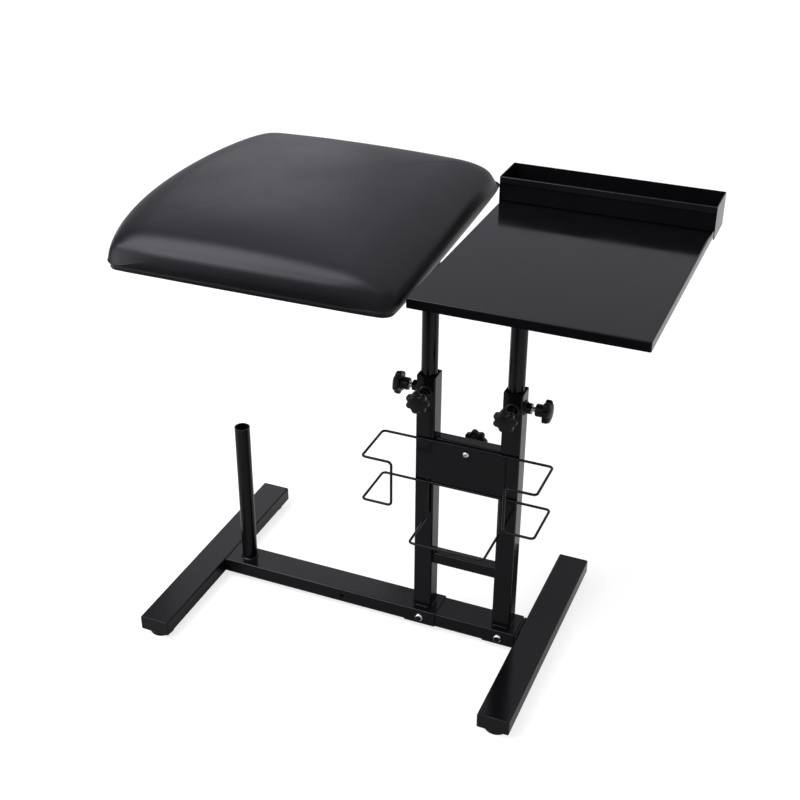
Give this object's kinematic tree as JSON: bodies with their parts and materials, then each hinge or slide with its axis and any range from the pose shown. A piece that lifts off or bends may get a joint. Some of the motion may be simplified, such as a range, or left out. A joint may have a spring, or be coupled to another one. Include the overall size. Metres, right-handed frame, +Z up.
{
  "type": "tattoo workstation",
  "caption": "Free-standing tattoo workstation with a padded rest and a steel tray on height-adjustable clamped tubes, a wire bottle rack, a roll post and an H-shaped base on levelling feet.",
  "frame": {"origin": "on the floor, under the middle of the object's plan", "axes": "+X along the base beam from the padded rest to the tray, +Y to the back (the trough side), +Z up"},
  "size_m": [0.78, 0.5241, 0.7363],
  "materials": {
    "gloss_black_paint": "gloss black powder coat",
    "black_plastic": "satin black moulded plastic",
    "zinc_steel": "bright zinc",
    "black_vinyl": "smooth black artificial leather",
    "foam": "upholstery foam",
    "plywood": "raw plywood"
  },
  "bodies": {
    "base": {"left_foot_bar": "gloss_black_paint", "right_foot_bar": "gloss_black_paint", "left_front_end_cap": "black_plastic", "left_back_end_cap": "black_plastic", "right_front_end_cap": "black_plastic", "right_back_end_cap": "black_plastic", "main_beam": "gloss_black_paint", "beam_end_plate": "gloss_black_paint", "roll_post": "gloss_black_paint", "left_saddle": "gloss_black_paint", "right_saddle": "gloss_black_paint", "left_saddle_bolt": "zinc_steel", "right_saddle_bolt": "zinc_steel", "left_saddle_nut": "zinc_steel", "right_saddle_nut": "zinc_steel", "left_post": "gloss_black_paint", "right_post": "gloss_black_paint", "lower_crossbar": "gloss_black_paint", "upper_crossbar": "gloss_black_paint", "left_side_clamp_nut": "gloss_black_paint", "left_front_clamp_nut": "gloss_black_paint", "right_side_clamp_nut": "gloss_black_paint", "right_front_clamp_nut": "gloss_black_paint", "rack_basket_wire": "gloss_black_paint", "rack_cradle_wire": "gloss_black_paint", "rack_plate": "gloss_black_paint", "rack_bolt": "zinc_steel"},
    "pad_mast": {"pad_tube": "gloss_black_paint"},
    "pad_head": {"pad_plate": "gloss_black_paint", "pad_board": "plywood", "pad_foam": "foam", "pad_cover": "black_vinyl", "pad_screw_1": "zinc_steel", "pad_screw_2": "zinc_steel", "pad_screw_3": "zinc_steel", "pad_screw_4": "zinc_steel"},
    "tray_mast": {"tray_tube": "gloss_black_paint"},
    "tray_head": {"tray_plate": "gloss_black_paint", "tray_pan": "gloss_black_paint", "tray_bolt_1": "zinc_steel", "tray_bolt_2": "zinc_steel", "tray_bolt_3": "zinc_steel", "tray_bolt_4": "zinc_steel", "trough": "gloss_black_paint", "trough_left_end": "gloss_black_paint", "trough_right_end": "gloss_black_paint"},
    "left_side_clamp": {"left_side_clamp_knob": "black_plastic", "left_side_clamp_stud": "zinc_steel"},
    "left_front_clamp": {"left_front_clamp_knob": "black_plastic", "left_front_clamp_stud": "zinc_steel"},
    "right_side_clamp": {"right_side_clamp_knob": "black_plastic", "right_side_clamp_stud": "zinc_steel"},
    "right_front_clamp": {"right_front_clamp_knob": "black_plastic", "right_front_clamp_stud": "zinc_steel"},
    "rack_clamp": {"rack_knob": "black_plastic"},
    "left_front_foot": {"left_front_levelling_foot": "black_plastic"},
    "left_back_foot": {"left_back_levelling_foot": "black_plastic"},
    "right_front_foot": {"right_front_levelling_foot": "black_plastic"},
    "right_back_foot": {"right_back_levelling_foot": "black_plastic"}
  },
  "joints": [
    {"name": "pad_height", "type": "slide", "parent": "base", "child": "pad_mast", "axis": [0, 0, 1], "range_m": [-0.15, 0.15]},
    {"name": "pad_swivel", "type": "hinge", "parent": "pad_mast", "child": "pad_head", "pos_m": [0.0281, 0.009, 0.6645], "axis": [0, 0, 1], "range_deg": [-3, 0.3]},
    {"name": "tray_height", "type": "slide", "parent": "base", "child": "tray_mast", "axis": [0, 0, 1], "range_m": [-0.15, 0.15]},
    {"name": "tray_swivel", "type": "hinge", "parent": "tray_mast", "child": "tray_head", "pos_m": [0.1621, 0.009, 0.682], "axis": [0, 0, 1], "range_deg": [-0.3, 3]},
    {"name": "left_side_clamp_turn", "type": "hinge", "parent": "base", "child": "left_side_clamp", "pos_m": [0.0131, 0.009, 0.434], "axis": [-1, 0, 0], "continuous": true},
    {"name": "left_front_clamp_turn", "type": "hinge", "parent": "base", "child": "left_front_clamp", "pos_m": [0.0281, -0.006, 0.434], "axis": [0, -1, 0], "continuous": true},
    {"name": "right_side_clamp_turn", "type": "hinge", "parent": "base", "child": "right_side_clamp", "pos_m": [0.1771, 0.009, 0.434], "axis": [1, 0, 0], "continuous": true},
    {"name": "right_front_clamp_turn", "type": "hinge", "parent": "base", "child": "right_front_clamp", "pos_m": [0.1621, -0.006, 0.434], "axis": [0, -1, 0], "continuous": true},
    {"name": "rack_clamp_turn", "type": "hinge", "parent": "base", "child": "rack_clamp", "pos_m": [0.0951, 0.0193, 0.344], "axis": [0, 1, 0], "continuous": true},
    {"name": "left_front_foot_turn", "type": "hinge", "parent": "base", "child": "left_front_foot", "pos_m": [-0.3546, -0.182, 0], "axis": [0, 0, 1], "continuous": true},
    {"name": "left_back_foot_turn", "type": "hinge", "parent": "base", "child": "left_back_foot", "pos_m": [-0.3546, 0.2, 0], "axis": [0, 0, 1], "continuous": true},
    {"name": "right_front_foot_turn", "type": "hinge", "parent": "base", "child": "right_front_foot", "pos_m": [0.2181, -0.182, 0], "axis": [0, 0, 1], "continuous": true},
    {"name": "right_back_foot_turn", "type": "hinge", "parent": "base", "child": "right_back_foot", "pos_m": [0.2181, 0.2, 0], "axis": [0, 0, 1], "continuous": true}
  ]
}
